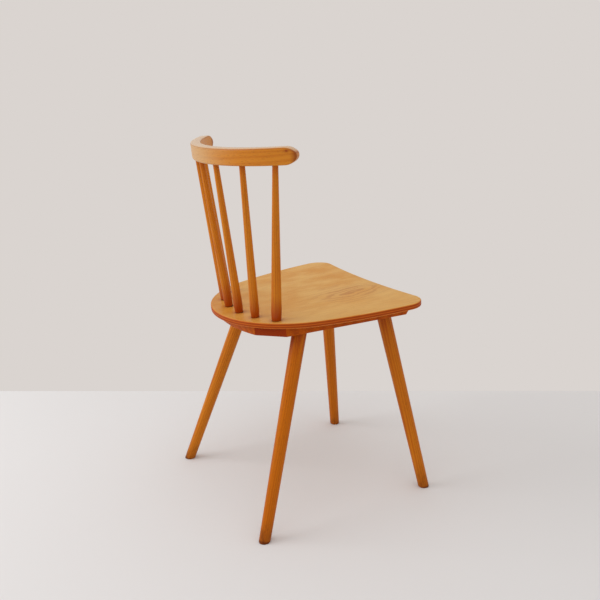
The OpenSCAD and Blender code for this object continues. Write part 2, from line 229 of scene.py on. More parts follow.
class Plan:
    """Places that follow from the sizes. The seat's plane has z = 0 on its top face."""

    def __init__(self, s):
        self.s = s
        self.half = s.seat_width / 2
        self.back_r = self.half - s.seat_back_taper
        self.back_y = s.seat_back - self.back_r
        self.side_arc = Vector((self.half - s.seat_side_radius, self.back_y - sqrt(
            (s.seat_side_radius - self.back_r) ** 2 - (s.seat_side_radius - self.half) ** 2)))
        self.front_arc = Vector((0, -s.seat_front - s.seat_front_radius))
        self.corner = self.crossing(self.side_arc, s.seat_side_radius - s.seat_corner_radius,
                                    self.front_arc, s.seat_front_radius + s.seat_corner_radius)
        self.row_r = self.back_r + s.row_gain
        self.row_y = s.seat_back - s.row_inset - self.row_r
        self.rail_low = -s.seat_thick - s.rail_thick
        self.rail_front = -(s.seat_front - s.rail_setback)
        self.rail_outer = self.half - s.rail_overhang
        arc = self.back_r - s.rail_back_inset
        middle, outer = (sin(radians(a)) for a in FOOT_ANGLES[1:])
        self.rail_inner = self.row_r * (middle + outer) / 2
        corner_x = self.rail_outer - s.rail_toe
        self.rail_corner = Vector((corner_x, s.rail_corner_past + self.back_y
                                   + sqrt(arc ** 2 - corner_x ** 2)))
        self.joint_y = self.back_y + sqrt(arc ** 2 - self.rail_inner ** 2)
        self.back_rail_rear = s.seat_back - s.back_rail_inset
        rise = self.back_rail_rear - self.joint_y
        self.back_rail_r = (self.rail_inner ** 2 + rise ** 2) / (2 * rise)
        self.back_rail_front = self.back_rail_rear - s.back_rail_width
        self.crest_outer_r = s.crest_radius + s.crest_thick / 2
        self.seat_middle = self.on_seat((0, 0, 0))
        self.seat_up = self.on_seat((0, 0, 1)) - self.seat_middle

    @staticmethod
    def crossing(a, ra, b, rb):
        """The point at ra from a and rb from b, on the right-hand side going from a to b."""
        gap = (b - a).length
        u = (b - a) / gap
        s = (gap * gap + ra * ra - rb * rb) / (2 * gap)
        return a + s * u + sqrt(ra * ra - s * s) * Vector((-u.y, u.x))

    def on_seat(self, p):
        """The place on the chair of a point that is measured from the seat's plane."""
        s = self.s
        return Vector((p[0], p[1] * cos(s.seat_slope) + p[2] * sin(s.seat_slope),
                       s.seat_height - p[1] * sin(s.seat_slope) + p[2] * cos(s.seat_slope)))

    def on_crest(self, angle, radius, height):
        """The place on the chair of a point round the crest rail's bend."""
        s = self.s
        back = radius * cos(angle) - self.crest_outer_r
        return Vector((radius * sin(angle),
                       s.seat_back + s.crest_setback + back * cos(s.crest_tilt)
                       + height * sin(s.crest_tilt),
                       s.seat_height + s.crest_rise - back * sin(s.crest_tilt)
                       + height * cos(s.crest_tilt)))

    def spindle_line(self, number):
        """Foot and top of a spindle, 0 at the sitter's right end."""
        middle = (SPINDLES - 1) / 2
        side = RIGHT if number < middle else LEFT
        step = int(abs(number - middle))
        a = side * radians(FOOT_ANGLES[step])
        foot = (self.row_r * sin(a), self.row_y + self.row_r * cos(a), 0)
        return (self.on_seat(foot),
                self.on_crest(side * radians(TOP_ANGLES[step]), self.s.crest_radius, 0))

    def leg_line(self, side, front):
        """Foot of a leg and the middle of its shoulder under the rail."""
        s = self.s
        inward = s.front_leg_in if front else s.back_leg_in
        y = self.rail_front + s.front_leg_setback if front \
            else self.back_rail_front - s.back_leg_gap
        top = self.on_seat((side * (self.rail_inner + inward), y, self.rail_low))
        out, ahead = (s.front_splay_x, -s.front_splay_y) if front \
            else (s.back_splay_x, s.back_splay_y)
        return Vector((top.x + side * out, top.y + ahead, 0)), top

    def seat_outline(self):
        """(point, outward direction) pairs round the seat, from the front's middle."""
        s = self.s
        half = []

        def arc(centre, radius, start, end, steps, hollow=False):
            for i in range(steps + 1):
                a = start + (end - start) * i / steps
                d = Vector((cos(a), sin(a)))
                half.append((centre + radius * d, -d if hollow else d))

        def bearing(a, b):
            return atan2(b.y - a.y, b.x - a.x)

        back = Vector((0, self.back_y))
        low, high = bearing(self.side_arc, self.corner), bearing(self.side_arc, back)
        arc(self.front_arc, s.seat_front_radius, pi / 2,
            bearing(self.front_arc, self.corner), steps=16, hollow=True)
        arc(self.corner, s.seat_corner_radius, bearing(self.corner, self.front_arc), low,
            steps=14)
        arc(self.side_arc, s.seat_side_radius, low, high, steps=24)
        arc(back, self.back_r, high, pi / 2, steps=40)
        # two arcs share the point where they meet, and it is kept once
        same_point = 1e-6
        kept = [half[0]]
        for point, out in half[1:]:
            if (point - kept[-1][0]).length > same_point:
                kept.append((point, out))
        mirrored = [(Vector((-p.x, p.y)), Vector((-n.x, n.y))) for p, n in kept[-2:0:-1]]
        return kept + mirrored


# ---------------------------------------------------------------- shapes

def add_ring(bm, points):
    return [bm.verts.new(p) for p in points]


def join_rings(bm, rings):
    for lower, upper in zip(rings, rings[1:]):
        for i in range(len(lower)):
            j = (i + 1) % len(lower)
            bm.faces.new((lower[i], lower[j], upper[j], upper[i]))


def quarter_round(radius, steps=4):
    """(inset, depth) pairs from the side of an edge round to its face."""
    return [(radius * (1 - cos(a)), radius * (1 - sin(a)))
            for a in (pi / 2 * i / steps for i in range(steps + 1))]


def soften_edges(bm, width, least_angle=radians(20)):
    """Rounds every edge where two faces meet at more than the least angle."""
    bmesh.ops.recalc_face_normals(bm, faces=bm.faces)
    edges = [e for e in bm.edges if e.calc_face_angle(0) > least_angle]
    bmesh.ops.bevel(bm, geom=edges, offset=width, segments=3, profile=0.5,
                    affect="EDGES", clamp_overlap=True)


def finish_piece(bm, name, node, material, place, grain, board, tone=0.0,
                 sharp=radians(35)):
    """Turns a shape in its own blank's measures into a piece in its place on the chair.
    Each point keeps where it lies in the blank, with z along the grain. Edges are shaded
    as sharp where they turn further than the angle that is given."""
    along = bm.verts.layers.float_vector.new("grain")
    cut = bm.verts.layers.float_vector.new("board")
    pale = bm.verts.layers.float.new("tone")
    for v in bm.verts:
        v[along] = grain(v.co)
        v[cut] = BOARD_SHIFT * board
        v[pale] = tone
        v.co = place(v.co)
    bmesh.ops.recalc_face_normals(bm, faces=bm.faces)
    mesh = bpy.data.meshes.new(name)
    bm.to_mesh(mesh)
    bm.free()
    mesh.shade_smooth()
    mesh.set_sharp_from_angle(angle=sharp)
    mesh.materials.append(material)
    piece = bpy.data.objects.new(name, mesh)
    bpy.context.scene.collection.objects.link(piece)
    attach(piece, "root")
    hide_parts(node)


def turning_frame(foot, top):
    """The lathe that a stick is turned on: a function from (across, across, along) to a place."""
    along = (top - foot).normalized()
    first = along.orthogonal().normalized()
    second = along.cross(first)
    return lambda p: foot + first * p[0] + second * p[1] + along * p[2]


def plane_cut(place, level, angle, radius, guess, tries=5, step=0.01):
    """How far along a turned stick the plane, where level(point) is zero, cuts one side."""
    for _ in range(tries):
        r = radius(guess)
        here = level(place((r * cos(angle), r * sin(angle), guess)))
        ahead = level(place((r * cos(angle), r * sin(angle), guess + step)))
        guess -= here * step / (ahead - here)
    return guess


def turned(bm, place, radius, span, low_level, high_level, low_round, stations, sides):
    """A turned stick between two slanting cuts, with rings at the stations, which run from 0
    at its lower cut to 1 at its upper one. Returns its upper ring, which is left open."""
    angles = [2 * pi * i / sides for i in range(sides)]
    low = [plane_cut(place, low_level, a, radius, 0) for a in angles]
    high = [plane_cut(place, high_level, a, radius, span) for a in angles]
    rings = []
    for inset, lift in reversed(quarter_round(low_round)):
        def inner(z):
            return radius(z) - inset
        ring = []
        for a in angles:
            z = plane_cut(place, low_level, a, inner, 0)
            ring.append(Vector((inner(z) * cos(a), inner(z) * sin(a), z + lift)))
        rings.append(add_ring(bm, ring))
    for share in stations:
        ring = []
        for a, start, end in zip(angles, low, high):
            z = start + low_round + (end - start - low_round) * share
            ring.append(Vector((radius(z) * cos(a), radius(z) * sin(a), z)))
        rings.append(add_ring(bm, ring))
    join_rings(bm, rings)
    bm.faces.new(rings[0])
    return rings[-1]


# ---------------------------------------------------------------- finishes

def arithmetic(operation):
    """A Python operator and its reflected form, which both add the same Math node."""
    def plain(first, second):
        return first.nodes.maths(operation, first, second)

    def reflected(second, first):
        return second.nodes.maths(operation, first, second)

    return plain, reflected


class Wire:
    """A node's output. An expression on wires of numbers adds its Math nodes."""
    __add__, __radd__ = arithmetic("ADD")
    __sub__, __rsub__ = arithmetic("SUBTRACT")
    __mul__, __rmul__ = arithmetic("MULTIPLY")
    __truediv__, __rtruediv__ = arithmetic("DIVIDE")
    __pow__, __rpow__ = arithmetic("POWER")

    def __init__(self, nodes, socket):
        self.nodes, self.socket = nodes, socket

    def __abs__(self):
        return self.nodes.maths("ABSOLUTE", self)

    def least(self, other):
        return self.nodes.maths("MINIMUM", self, other)

    def most(self, other):
        return self.nodes.maths("MAXIMUM", self, other)

    def wave(self):
        return self.nodes.maths("SINE", self)


class Nodes:
    """Fills one empty tree with nodes."""

    def __init__(self, tree):
        self.tree = tree
        tree.nodes.clear()

    def node(self, kind, settings, inputs, output=0):
        """Adds a node: its settings first, then the values or wires of its sockets."""
        made = self.tree.nodes.new(kind)
        for name, value in settings.items():
            setattr(made, name, value)
        for key, value in inputs.items():
            socket = made.inputs[key]
            if isinstance(value, Wire):
                self.tree.links.new(value.socket, socket)
            else:
                socket.default_value = value
        return Wire(self, made.outputs[output]) if made.outputs else None

    def maths(self, operation, *terms):
        return self.node("ShaderNodeMath", {"operation": operation}, dict(enumerate(terms)))


class Finish(Nodes):
    """One varnish or metal finish, built from procedural nodes."""

    def __init__(self, name, roughness=0.4, coat=0.0, gloss=0.12):
        self.material = bpy.data.materials.new(name)
        self.material.use_nodes = True
        super().__init__(self.material.node_tree)
        surface = self.node("ShaderNodeBsdfPrincipled", {}, {
            "Roughness": roughness, "Coat Weight": coat, "Coat Roughness": 0.25,
            "Specular IOR Level": gloss})
        self.shader = surface.socket.node
        self.node("ShaderNodeOutputMaterial", {}, {"Surface": surface})

    def feed(self, **sockets):
        for name, wire in sockets.items():
            self.tree.links.new(wire.socket, self.shader.inputs[name.replace("_", " ")])

    def mix(self, amount, first, second):
        """From the first colour to the second."""
        first, second = (c if isinstance(c, Wire) else (*c, 1) for c in (first, second))
        return self.node("ShaderNodeMix", {"data_type": "RGBA", "clamp_factor": True},
                         {0: amount, 6: first, 7: second}, 2)

    def rise(self, value, start, end):
        """0 before start, 1 after end, and smooth between."""
        return self.node("ShaderNodeMapRange", {"interpolation_type": "SMOOTHSTEP"},
                         {0: value, 1: start, 2: end, 3: 0.0, 4: 1.0})

    def kept(self, name, output="Vector"):
        """What each point of the piece keeps under this name."""
        return self.node("ShaderNodeAttribute", {"attribute_name": name}, {}, output)

    def own_place(self):
        return self.node("ShaderNodeTexCoord", {}, {}, "Object")

    def vectors(self, operation, first, second, output="Vector"):
        return self.node("ShaderNodeVectorMath", {"operation": operation},
                         {0: first, 1: second}, output)

    def parts(self, vector):
        made = self.node("ShaderNodeSeparateXYZ", {}, {0: vector})
        return [Wire(self, socket) for socket in made.socket.node.outputs]

    def noise(self, vector, amounts, detail=2.0, rough=0.5):
        """Uneven pattern, with so many patches to a metre each way."""
        return self.node("ShaderNodeTexNoise", {"noise_dimensions": "3D"},
                         {"Vector": self.vectors("MULTIPLY", vector, amounts), "Scale": 1.0,
                          "Detail": detail, "Roughness": rough})

    def facing(self, axis):
        """How squarely the surface faces along a world direction, from 0 to 1."""
        normal = self.node("ShaderNodeNewGeometry", {}, {}, "Normal")
        return abs(self.vectors("DOT_PRODUCT", normal, axis, "Value"))

    def relief(self, height, depth, strength=0.5):
        """Bump of a pattern that runs from 0 to 1, as deep as depth in metres."""
        self.feed(Normal=self.node("ShaderNodeBump", {}, {
            "Strength": strength, "Distance": depth, "Height": height}, "Normal"))


class Wood:
    """Marks that a board's grain makes, each from 0 to 1, and the places in its blank."""
    pith_aside, pith_below = 0.034, 0.021

    def __init__(self, finish):
        self.finish = finish
        blank = finish.kept("grain")
        self.across, self.through, self.along = finish.parts(blank)
        self.board = finish.vectors("ADD", blank, finish.kept("board"))
        self.fibres = self.patches(1100, 9, 4, 0.6)
        self.threads = self.patches(420, 3.5, 3, 0.55)
        self.pores = finish.rise(self.patches(1500, 130, 1, 0.4), 0.63, 0.72)

    def patches(self, across, along, detail, rough):
        """Uneven pattern, with so many patches to a metre across the grain and along it."""
        return self.finish.noise(self.board, (across, across, along), detail, rough)

    def clouds(self):
        return self.finish.rise(self.patches(26, 5, 2, 0.5), 0.3, 0.7)

    def rings(self, spacing, wander):
        """Growth rings round a pith outside the board, that sway by the wander along it."""
        sway = self.patches(9, 1.6, 2, 0.5)
        pith = ((self.across + self.pith_aside) ** 2
                + (self.through + self.pith_below) ** 2) ** 0.5
        waves = ((pith + sway * wander) * (2 * pi / spacing)).wave()
        return self.finish.rise(waves, -0.7, 1.0) * self.finish.rise(self.threads, 0.25, 0.65)

    def grained(self, face, deep, rings, fibres, clouds):
        """From the face's colour towards a deeper one, by so much of each mark."""
        f = self.finish
        colour = f.mix(rings, face, deep)
        colour = f.mix(f.rise(self.fibres, 0.35, 0.75) * fibres, colour, deep)
        return f.mix(clouds, colour, deep)

    def raise_grain(self, depth):
        """Relief that follows the fibres."""
        self.finish.relief(self.fibres * 0.6 + self.threads * 0.4, depth)


def leg_finish(colours, span):
    """Scuffed and darker towards the floor, with dark streaks under the rail."""
    f = Finish("varnished_leg_beech", coat=0.03, gloss=0.1)
    w = Wood(f)
    clouds = w.clouds()
    face = f.mix(f.kept("tone", "Fac"), colours.leg, colours.leg_gold)
    colour = w.grained(face, colours.leg_deep, w.rings(0.0042, 0.03) * 0.6, 0.3, clouds * 0.25)
    colour = f.mix(w.pores * 0.45, colour, colours.pore)

    foot = 1 - f.rise(w.along + clouds * 0.03, 0.004, 0.075)
    colour = f.mix(foot * 0.6, colour, colours.leg_foot)
    scuffs = f.rise(w.patches(170, 55, 3, 0.6), 0.48, 0.62)
    colour = f.mix(foot * scuffs * 0.5, colour, colours.pore)
    rim = 1 - f.rise(w.along + w.threads * 0.004, 0.002, 0.0065)
    colour = f.mix(rim * 0.6, colour, colours.pore)

    top = f.rise(w.along, span - 0.07, span) * f.rise(w.threads, 0.38, 0.62)
    colour = f.mix(top * 0.75, colour, colours.rail_end)
    f.feed(Base_Color=colour, Roughness=0.3 + 0.16 * w.fibres + 0.1 * foot)
    w.raise_grain(0.00025)
    return f.material


def spindle_finish(colours, span):
    """Redder towards both ends, with a dark line where the seat begins."""
    f = Finish("varnished_spindle_birch", coat=0.08)
    w = Wood(f)
    clouds = w.clouds()
    colour = w.grained(colours.spindle, colours.spindle_deep,
                       w.rings(0.0036, 0.028) * 0.7, 0.3, clouds * 0.25)
    colour = f.mix(w.pores * 0.35, colour, colours.pore)
    foot = 1 - f.rise(w.along + clouds * 0.02, 0.01, 0.075)
    colour = f.mix(foot * 0.9, colour, colours.spindle_foot)
    seam = 1 - f.rise(w.along, 0.0006, 0.0022)
    colour = f.mix(seam * 0.85, colour, colours.joint)
    top = f.rise(w.along, span - 0.03, span)
    colour = f.mix(top * 0.4, colour, colours.spindle_foot)
    f.feed(Base_Color=colour, Roughness=0.3 + 0.16 * w.fibres)
    w.raise_grain(0.0002)
    return f.material


def crest_finish(colours, half_length, height, thick):
    """Painted sheen past the middle, a painted highlight on the polished top edge with painted
    shade where it turns, and a knot near the right end.
    """
    f = Finish("varnished_crest_beech")
    w = Wood(f)
    clouds = w.clouds()
    colour = w.grained(colours.crest, colours.crest_deep,
                       w.rings(0.0052, 0.05) * 0.55, 0.25, clouds * 0.3)
    # painted sheen: the crest rail grows paler past its middle towards +X, most on its outer face,
    # standing in for reflected light there
    outside = f.rise(w.across, -thick / 2, thick / 2)
    painted_sheen = f.rise(w.along + clouds * 0.03, -0.11, 0.05) * (0.3 + 0.7 * outside)
    colour = f.mix(painted_sheen * 0.75, colour, colours.crest_sheen)

    # the top edge gets a painted highlight, with a line of painted shade where it turns to the
    # faces
    up = f.facing((0, 0, 1)) * f.rise(w.through, height * 0.5, height * 0.7)
    line = f.rise(up, 0.1, 0.35) * (1 - f.rise(up, 0.5, 0.75))
    colour = f.mix(line * 0.5, colour, colours.crest_end)
    colour = f.mix(f.rise(up, 0.6, 0.85) * 0.75, colour, colours.crest_sheen)
    colour = f.mix(w.pores * 0.35, colour, colours.pore)

    knot_along, knot_up, knot_long = -half_length * 0.925, height * 0.8, 1.6
    knot = (((w.along - knot_along) / knot_long) ** 2 + (w.through - knot_up) ** 2) ** 0.5
    colour = f.mix((1 - f.rise(knot, 0.001, 0.0055)) * 0.5, colour, colours.crest_end)
    colour = f.mix((1 - f.rise(knot, 0.0006, 0.0022)) * 0.7, colour, colours.rail_end)

    end = f.rise(abs(w.along) + w.threads * 0.006, half_length - 0.012, half_length + 0.002)
    rim = f.rise(abs(w.across), thick / 2 - 0.003, thick / 2 - 0.0008)
    colour = f.mix(end * (0.25 + 0.6 * rim), colour, colours.crest_end)
    polish = 0.2 + 0.8 * f.rise(up, 0.35, 0.9)
    f.feed(Base_Color=colour, Roughness=0.32 + 0.14 * w.fibres, Coat_Weight=polish)
    w.raise_grain(0.0002)
    return f.material


def rail_finish(colours, end_direction, name):
    """Long grain on the faces, and end grain where they look in the end's direction."""
    f = Finish(name, coat=0.03, gloss=0.08)
    w = Wood(f)
    colour = w.grained(colours.rail, colours.rail_deep,
                       w.rings(0.0046, 0.04) * 0.7, 0.35, w.clouds() * 0.35)
    colour = f.mix(w.pores * 0.5, colour, colours.pore)
    end = f.rise(f.facing(end_direction), 0.45, 0.62)
    speckle = w.patches(1300, 1300, 2, 0.6)
    end_colour = f.mix(f.rise(speckle, 0.42, 0.68), colours.rail_end, colours.rail_deep)
    colour = f.mix(end * 0.9, colour, end_colour)
    f.feed(Base_Color=colour, Roughness=0.38 + 0.18 * w.fibres + 0.12 * end)
    f.relief(w.fibres * (1 - end) + speckle * end, 0.0003)
    return f.material


def seat_finish(colours, plan, feet):
    """Rotary-cut birch on the faces, with a painted sheen on the near side, layers on the edge and
    a dark line at each spindle.
    """
    thick = plan.s.seat_thick
    f = Finish("varnished_birch_ply")
    w = Wood(f)
    soft = f.rise(f.noise(w.board, (16, 0, 9), 3, 0.55), 0.32, 0.68)
    colour = f.mix(soft, colours.seat_gold, colours.seat_pale_and_sheen)
    # painted sheen: the seat grows paler towards -X, its near side, standing in for reflected
    # light there
    near_side_sheen = 1 - f.rise(w.across + soft * 0.05, -0.2, 0.06)
    colour = f.mix(near_side_sheen * 0.5, colour, colours.seat_pale_and_sheen)

    # growth lines nest like long loops along the grain, and fade away round their middle
    aside, ahead, loop_gap = w.across + 0.064, w.along + 0.105, 0.017
    swirl = f.noise(w.board, (22, 0, 8), 3, 0.55)
    loops = (aside ** 2 + (ahead * 0.3) ** 2) ** 0.5 + swirl * 0.075
    contour = f.rise((loops * (2 * pi / loop_gap)).wave(), -0.1, 1.0) \
        * f.rise(w.threads, 0.1, 0.6)
    flame = (1 - f.rise((aside ** 2 + (ahead * 0.7) ** 2) ** 0.5, 0.015, 0.085)) \
        * f.rise(w.through, -0.7 * thick, -0.3 * thick)
    colour = f.mix(flame * soft * 0.18, colour, colours.seat_streak)
    colour = f.mix(contour * (0.1 + 0.5 * flame), colour, colours.seat_streak)
    colour = f.mix(f.rise(w.fibres, 0.38, 0.8) * 0.3, colour, colours.seat_streak)
    colour = f.mix(w.pores * 0.22, colour, colours.pore)

    back = f.rise(w.along + soft * 0.03, 0.05, plan.s.seat_back)
    colour = f.mix(back * 0.4, colour, colours.seat_worn)
    for x, y, radius in feet:
        gap = ((abs(w.across) - x) ** 2 + (w.along - y) ** 2) ** 0.5
        colour = f.mix((1 - f.rise(gap, radius + 0.0004, radius + 0.012)) * 0.3,
                       colour, colours.spindle_foot)
        colour = f.mix((1 - f.rise(gap, radius + 0.0002, radius + 0.0012)) * 0.85,
                       colour, colours.joint)

    # the layers' grain runs along the edge and into it by turns
    layers = 5
    depth = 0 - w.through
    layer = (depth * (layers * pi / thick)).wave()
    bands = f.rise(layer, -0.7, 0.7)
    flecks = f.noise(w.board, (60, 1400, 60), 3, 0.6)
    edge_colour = f.mix(0.1 + 0.55 * bands + 0.3 * f.rise(flecks, 0.3, 0.7),
                        colours.ply_dark, colours.ply_light)
    glue = 1 - f.rise(abs(layer), 0.0, 0.3)
    edge_colour = f.mix(glue * 0.25, edge_colour, colours.ply_glue)
    edge = f.rise(depth.least(thick - depth), 0.0004, 0.0011)
    f.feed(Base_Color=f.mix(edge, colour, edge_colour),
           Roughness=0.34 + 0.14 * w.fibres + 0.1 * edge, Coat_Weight=0.12 - 0.12 * edge)
    f.relief(w.fibres * (1 - edge) + bands * edge, 0.00025, 0.45)
    return f.material


def peg_finish(colours):
    """Dry, unvarnished wood of the wedges and dowels."""
    f = Finish("dry_peg_wood")
    place = f.own_place()
    fibres = f.noise(place, (900, 900, 60), 3, 0.6)
    clouds = f.noise(place, (60, 60, 20))
    colour = f.mix(f.rise(fibres, 0.35, 0.7) * 0.5, colours.peg, colours.leg_foot)
    colour = f.mix(f.rise(clouds, 0.4, 0.7) * 0.3, colour, colours.crest)
    f.feed(Base_Color=colour, Roughness=0.5 + 0.2 * fibres)
    f.relief(fibres, 0.0002)
    return f.material


def screw_finish(colours):
    """Yellowed steel with a little dirt."""
    f = Finish("yellowed_screw_steel", gloss=0.5)
    place = f.own_place()
    dirt = f.rise(f.noise(place, (700, 700, 700), 3, 0.6), 0.45, 0.7)
    scratches = f.noise(place, (4000, 600, 600))
    colour = f.mix(dirt * 0.5, colours.steel, colours.pore)
    f.feed(Base_Color=colour, Roughness=0.28 + 0.3 * dirt + 0.1 * scratches,
           Metallic=1 - 0.6 * dirt)
    f.relief(scratches, 0.00005, 0.4)
    return f.material


def floor_finish(colour):
    """Even floor with faint, wide patches."""
    f = Finish("pale_floor", roughness=0.75)
    patches = f.rise(f.noise(f.own_place(), (1.6, 1.6, 1.6)), 0.2, 0.8)
    f.feed(Base_Color=f.mix(patches * 0.3, colour, [level * 0.97 for level in colour]))
    return f.material


# ---------------------------------------------------------------- operators

class PieceOperator:
    """What the operators share: the sizes, the plan and the colours of this scene."""
    bl_options = {"REGISTER", "UNDO"}

    def execute(self, context):
        self.sizes = context.scene.chair_sizes
        self.plan = Plan(self.sizes)
        self.colours = context.scene.chair_colours
        self.make()
        return {"FINISHED"}


class CHAIR_OT_seat(PieceOperator, bpy.types.Operator):
    """Shape the plywood seat with its rounded edges"""
    bl_idname = "chair.seat"
    bl_label = "Plywood Seat"
    # a narrow ring inside each rounding keeps the flat faces' shading flat
    flat_ring = 0.002

    def make(self):
        s, plan = self.sizes, self.plan
        bm = bmesh.new()
        outline = plan.seat_outline()
        low = [(i, d - s.seat_thick) for i, d in reversed(quarter_round(s.seat_low_round))]
        top = [(i, -d) for i, d in quarter_round(s.seat_top_round)]
        steps = [(low[0][0] + self.flat_ring, low[0][1]), *low, *top,
                 (top[-1][0] + self.flat_ring, top[-1][1])]
        rings = [add_ring(bm, [(*(p - n * inset), z) for p, n in outline])
                 for inset, z in steps]
        join_rings(bm, rings)
        bm.faces.new(rings[0])
        bm.faces.new(rings[-1])
        # where the spindles of one half stand, and their radii there
        feet = []
        for step, angle in enumerate(FOOT_ANGLES):
            a = radians(angle)
            outer = step == len(FOOT_ANGLES) - 1
            thick = (s.outer_spindle if outer else s.spindle) - s.spindle_waist
            feet.append((plan.row_r * sin(a), plan.row_y + plan.row_r * cos(a), thick / 2))
        finish_piece(bm, "plywood_seat", "seat_panel",
                     seat_finish(self.colours, plan, feet), plan.on_seat,
                     lambda p: Vector((p.x, p.z, p.y)), SEAT_BOARD)


class CHAIR_OT_rails(PieceOperator, bpy.types.Operator):
    """Shape the two side rails and the back rail under the seat"""
    bl_idname = "chair.rails"
    bl_label = "Seat Rails"

    def make(self):
        s, plan = self.sizes, self.plan
        top, low = -s.seat_thick, plan.rail_low
        side_wood = rail_finish(self.colours, (0, 1, 0), "varnished_side_rail_beech")
        back_wood = rail_finish(self.colours, (1, 0, 0), "varnished_back_rail_beech")
        lean = s.rail_bevel * tan(s.rail_bevel_lean)
        front, inner, outer = plan.rail_front, plan.rail_inner, plan.rail_outer
        corner = plan.rail_corner
        outer_low = outer - s.rail_toe * lean / (corner.y - front)
        shape = {
            "inner_top": (inner, front, top), "outer_top": (outer, front, top),
            "inner_mid": (inner, front, low + s.rail_bevel),
            "outer_mid": (outer, front, low + s.rail_bevel),
            "inner_low": (inner, front + lean, low), "outer_low": (outer_low, front + lean, low),
            "corner_top": (*corner, top), "corner_low": (*corner, low),
            "joint_top": (inner, plan.joint_y, top), "joint_low": (inner, plan.joint_y, low),
        }
        faces = [("inner_top", "outer_top", "corner_top", "joint_top"),
                 ("inner_low", "outer_low", "corner_low", "joint_low"),
                 ("inner_top", "outer_top", "outer_mid", "inner_mid"),
                 ("inner_mid", "outer_mid", "outer_low", "inner_low"),
                 ("outer_top", "corner_top", "corner_low", "outer_low", "outer_mid"),
                 ("corner_top", "joint_top", "joint_low", "corner_low"),
                 ("joint_top", "inner_top", "inner_mid", "inner_low", "joint_low")]
        for side in (LEFT, RIGHT):
            bm = bmesh.new()
            corners = {name: bm.verts.new((side * x, y, z)) for name, (x, y, z) in shape.items()}
            for face in faces:
                bm.faces.new([corners[name] for name in face])
            soften_edges(bm, s.rail_edge)
            finish_piece(bm, f"side_rail_board_{SIDE_NAMES[side]}",
                         f"side_rail_{SIDE_NAMES[side]}", side_wood, plan.on_seat,
                         lambda p: Vector((p.x, p.z, p.y)), SIDE_RAIL_BOARD + side)

        bm = bmesh.new()
        half, steps = asin(inner / plan.back_rail_r), 32
        rear = [(plan.back_rail_r * sin(a),
                 plan.back_rail_rear - plan.back_rail_r * (1 - cos(a)))
                for a in (half - 2 * half * i / steps for i in range(steps + 1))]
        outline = [(-inner, plan.back_rail_front), (inner, plan.back_rail_front), *rear]
        rings = [add_ring(bm, [(x, y, z) for x, y in outline]) for z in (low, top)]
        join_rings(bm, rings)
        bm.faces.new(rings[0])
        bm.faces.new(rings[1])
        soften_edges(bm, s.rail_edge)
        finish_piece(bm, "back_rail_board", "back_rail", back_wood, plan.on_seat,
                     lambda p: Vector((p.y, p.z, p.x)), BACK_RAIL_BOARD)


class CHAIR_OT_legs(PieceOperator, bpy.types.Operator):
    """Turn the four splayed legs with their tenons"""
    bl_idname = "chair.legs"
    bl_label = "Turned Legs"
    # how pale each leg is: front left, front right, back left, back right
    tones = (0.2, 0.5, 0.9, 0.0)
    rings, sides, tenon_short = 24, 64, 0.0005

    def make(self):
        s, plan = self.sizes, self.plan
        foot, top = plan.leg_line(LEFT, True)
        wood = leg_finish(self.colours, (top - foot).length)
        shoulder = plan.on_seat((0, 0, plan.rail_low))
        for number, (front, side) in enumerate(
                (f, d) for f in (True, False) for d in (LEFT, RIGHT)):
            foot, top = plan.leg_line(side, front)
            span = (top - foot).length
            place = turning_frame(foot, top)

            def radius(z):
                return (s.leg_foot + (s.leg_top - s.leg_foot) * z / span) / 2

            bm = bmesh.new()
            last = turned(bm, place, radius, span, lambda p: p.z,
                          lambda p: (p - shoulder).dot(plan.seat_up), s.leg_foot_round,
                          [i / self.rings for i in range(1, self.rings + 1)], self.sides)
            tenon = [last]
            for reach in (0, s.rail_thick - self.tenon_short):
                ring = []
                for v in last:
                    out = Vector((v.co.x, v.co.y)).normalized() * s.leg_tenon / 2
                    ring.append((*out, v.co.z + reach))
                tenon.append(add_ring(bm, ring))
            join_rings(bm, tenon)
            bm.faces.new(tenon[-1])
            end = f"{'front' if front else 'back'}_{SIDE_NAMES[side]}"
            finish_piece(bm, f"turned_leg_{end}", f"leg_{end}", wood, place,
                         lambda p: p.copy(), LEG_BOARD + number, self.tones[number])


class CHAIR_OT_spindles(PieceOperator, bpy.types.Operator):
    """Turn the spindles of the back"""
    bl_idname = "chair.spindles"
    bl_label = "Back Spindles"
    # the lowest part, with the swell, has its rings closer together
    low_share, low_rings, rings, sides, foot_round = 0.12, 12, 24, 48, 0.0004

    def make(self):
        s, plan = self.sizes, self.plan
        foot, top = plan.spindle_line(0)
        wood = spindle_finish(self.colours, (top - foot).length)
        stations = [(i / self.low_rings) * self.low_share for i in range(1, self.low_rings)]
        stations += [self.low_share + (1 - self.low_share) * i / self.rings
                     for i in range(self.rings + 1)]
        for number in range(SPINDLES):
            foot, top = plan.spindle_line(number)
            span = (top - foot).length
            place = turning_frame(foot, top)
            outer = number in (0, SPINDLES - 1)
            swell = (s.outer_spindle if outer else s.spindle) / 2
            waist, tip = swell - s.spindle_waist / 2, s.spindle_top / 2

            def radius(z):
                if z < s.spindle_swell:
                    return waist + (swell - waist) * sin(pi / 2 * max(z, 0) / s.spindle_swell)
                share = (z - s.spindle_swell) / (span - s.spindle_neck - s.spindle_swell)
                return swell + (tip - swell) * min(share, 1)

            bm = bmesh.new()
            end = foot + (top - foot) * (1 + s.spindle_bury / span)
            last = turned(bm, place, radius, span + s.spindle_bury,
                          lambda p: (p - plan.seat_middle).dot(plan.seat_up),
                          lambda p: (p - end).dot(top - foot), self.foot_round, stations,
                          self.sides)
            bm.faces.new(last)
            finish_piece(bm, f"turned_spindle_{number + 1}", f"spindle_{number + 1}",
                         wood, place, lambda p: p.copy(),
                         SPINDLE_BOARD + number)


